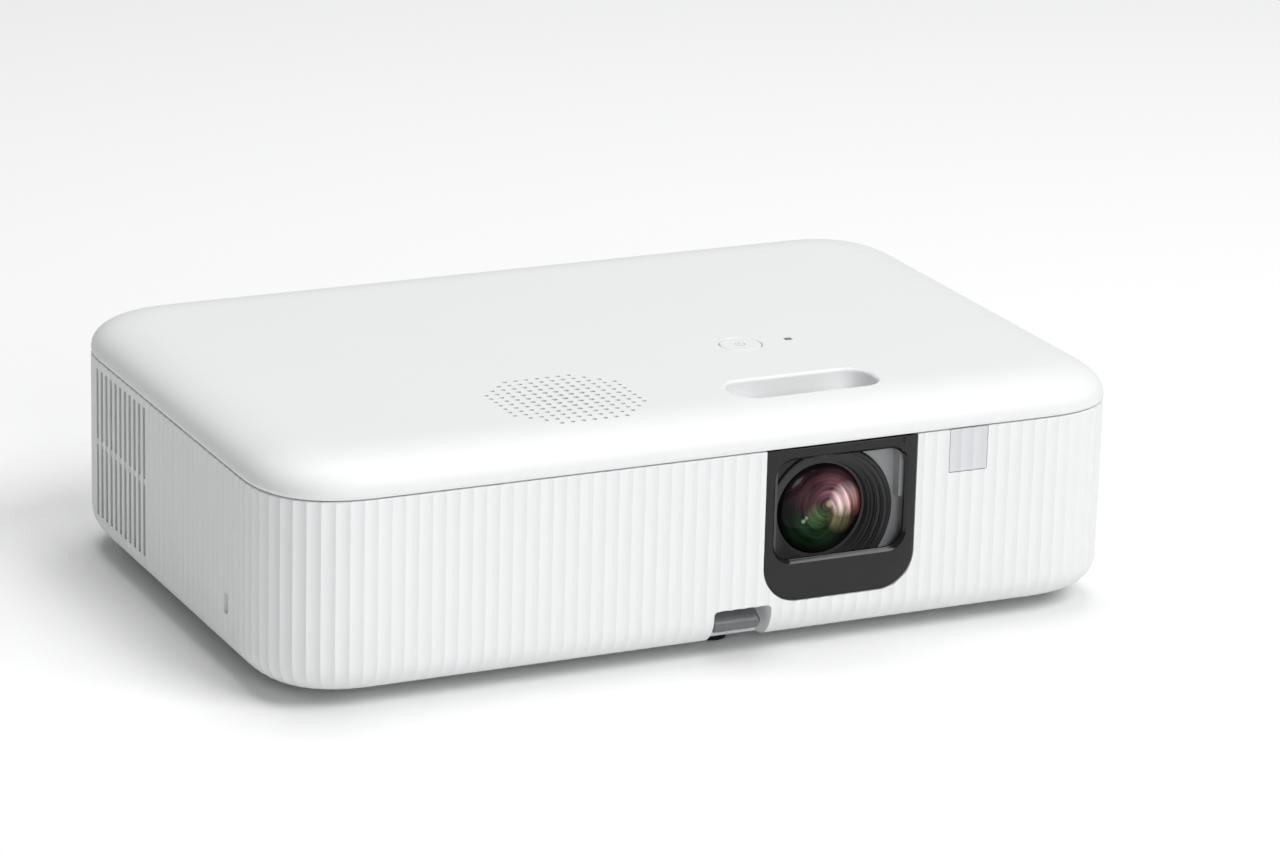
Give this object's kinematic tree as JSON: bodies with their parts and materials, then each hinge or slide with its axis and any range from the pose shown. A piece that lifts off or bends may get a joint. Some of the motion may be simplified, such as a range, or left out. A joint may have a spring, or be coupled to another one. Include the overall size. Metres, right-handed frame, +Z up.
{
  "type": "home projector",
  "caption": "Low white desktop projector with a fluted wall, smooth crowned top, sliding lens shutter, focus ring and quick-release front foot.",
  "frame": {"origin": "on the ground under the middle of the case, where the rubber feet rest", "axes": "+X to the right as someone facing the lens sees it, the lens looks along -Y, +Z up"},
  "size_m": [0.32, 0.211, 0.0861],
  "materials": {
    "white_case": "fine satin moulding texture, slightly cool white",
    "white_button": "fine satin moulding texture",
    "pale_grey_plastic": "satin pale grey moulding",
    "receiver_plastic": "satin translucent pale grey",
    "light_pipe": "clear light pipe, unlit",
    "gloss_black": "polished black",
    "black_plastic": "matt black moulding",
    "focus_ring_plastic": "ribbed matt dark grey",
    "shutter_plastic": "satin dark grey sheet",
    "coated_glass": "multi-coated optical glass, pink and green reflections",
    "prism_glass": "polished clear glass",
    "lcd_panel": "thin dark display panel",
    "engine_casting": "glass-filled grey moulding",
    "lever_grey": "satin mid grey moulding",
    "black_rubber": "matt",
    "steel": "zinc-plated",
    "polished_reflector": "mirror coated",
    "lamp_glass": "clear quartz",
    "board_green": "solder-masked circuit board",
    "speaker_black": "matt paper cone and steel basket",
    "filter_foam": "pleated dark filter cloth"
  },
  "bodies": {
    "case": {"blue_panel": "lcd_panel", "button_board": "board_green", "case_screw_1": "steel", "case_screw_2": "steel", "case_screw_3": "steel", "case_screw_4": "steel", "colour_prism": "prism_glass", "exhaust_fan_frame": "black_plastic", "filter_pad": "filter_foam", "foot_sleeve": "black_plastic", "green_panel": "lcd_panel", "hdmi_socket": "steel", "intake_fan_frame": "black_plastic", "lamp_ballast": "steel", "lamp_blower_housing": "black_plastic", "lamp_burner": "lamp_glass", "lamp_cover": "white_case", "lamp_housing": "black_plastic", "lamp_reflector": "polished_reflector", "lens_barrel": "black_plastic", "lens_bezel": "gloss_black", "lens_frame": "pale_grey_plastic", "lever_pin": "steel", "lower_case": "white_case", "main_board": "board_green", "optical_engine": "engine_casting", "power_inlet": "black_plastic", "power_supply_board": "board_green", "rear_foot_left": "black_rubber", "rear_foot_right": "black_rubber", "rear_panel": "black_plastic", "receiver_board": "board_green", "receiver_window": "receiver_plastic", "red_panel": "lcd_panel", "service_socket": "steel", "shutter_rail": "black_plastic", "speaker": "speaker_black", "status_light": "light_pipe", "top_cover": "white_case", "usb_socket": "steel"},
    "shutter": {"shutter_blade": "shutter_plastic"},
    "focus_ring_body": {"focus_ring": "focus_ring_plastic"},
    "lens_group": {"lens_cell": "black_plastic", "front_lens": "coated_glass", "rear_lens": "coated_glass"},
    "power_button_body": {"power_button": "white_button"},
    "front_foot_body": {"front_foot": "pale_grey_plastic", "front_foot_sole": "black_rubber"},
    "foot_lever_body": {"foot_lever": "lever_grey"},
    "exhaust_rotor": {"exhaust_fan_rotor": "black_plastic"},
    "intake_rotor": {"intake_fan_rotor": "black_plastic"},
    "blower_rotor": {"lamp_blower_rotor": "black_plastic"},
    "filter_cover_body": {"filter_cover": "white_case"}
  },
  "joints": [
    {"name": "shutter_slide", "type": "slide", "parent": "case", "child": "shutter", "axis": [1, 0, 0], "range_m": [0, 0.046]},
    {"name": "focus_turn", "type": "hinge", "parent": "case", "child": "focus_ring_body", "pos_m": [0.0445, -0.0702, 0.0456], "axis": [0, 1, 0], "range_deg": [-30, 30]},
    {"name": "focus_travel", "type": "slide", "parent": "case", "child": "lens_group", "axis": [0, 1, 0], "range_m": [-0.0008, 0.0008]},
    {"name": "power_press", "type": "slide", "parent": "case", "child": "power_button_body", "axis": [0, 0, -1], "range_m": [0, 0.0008], "stiffness_N_per_m": 600},
    {"name": "foot_extend", "type": "slide", "parent": "case", "child": "front_foot_body", "axis": [0, 0, -1], "range_m": [0, 0.03]},
    {"name": "foot_lever_press", "type": "hinge", "parent": "case", "child": "foot_lever_body", "pos_m": [0.0092, -0.0889, 0.0122], "axis": [-1, 0, 0], "range_deg": [0, 8], "stiffness_Nm_per_rad": 0.2, "springref_deg": -1.15},
    {"name": "exhaust_fan_spin", "type": "hinge", "parent": "case", "child": "exhaust_rotor", "pos_m": [-0.1445, 0.04925, 0.043], "axis": [1, 0, 0], "continuous": true},
    {"name": "intake_fan_spin", "type": "hinge", "parent": "case", "child": "intake_rotor", "pos_m": [0.139, 0.005, 0.043], "axis": [1, 0, 0], "continuous": true},
    {"name": "lamp_blower_spin", "type": "hinge", "parent": "case", "child": "blower_rotor", "pos_m": [-0.091, 0.077, 0.0215], "axis": [0, 0, 1], "continuous": true},
    {"name": "filter_cover_pull", "type": "slide", "parent": "case", "child": "filter_cover_body", "axis": [1, 0, 0], "range_m": [0, 0.03]}
  ],
  "couplings": [
    {"joint": "focus_turn", "follows": "focus_travel", "rad_per_m": 654.49}
  ]
}
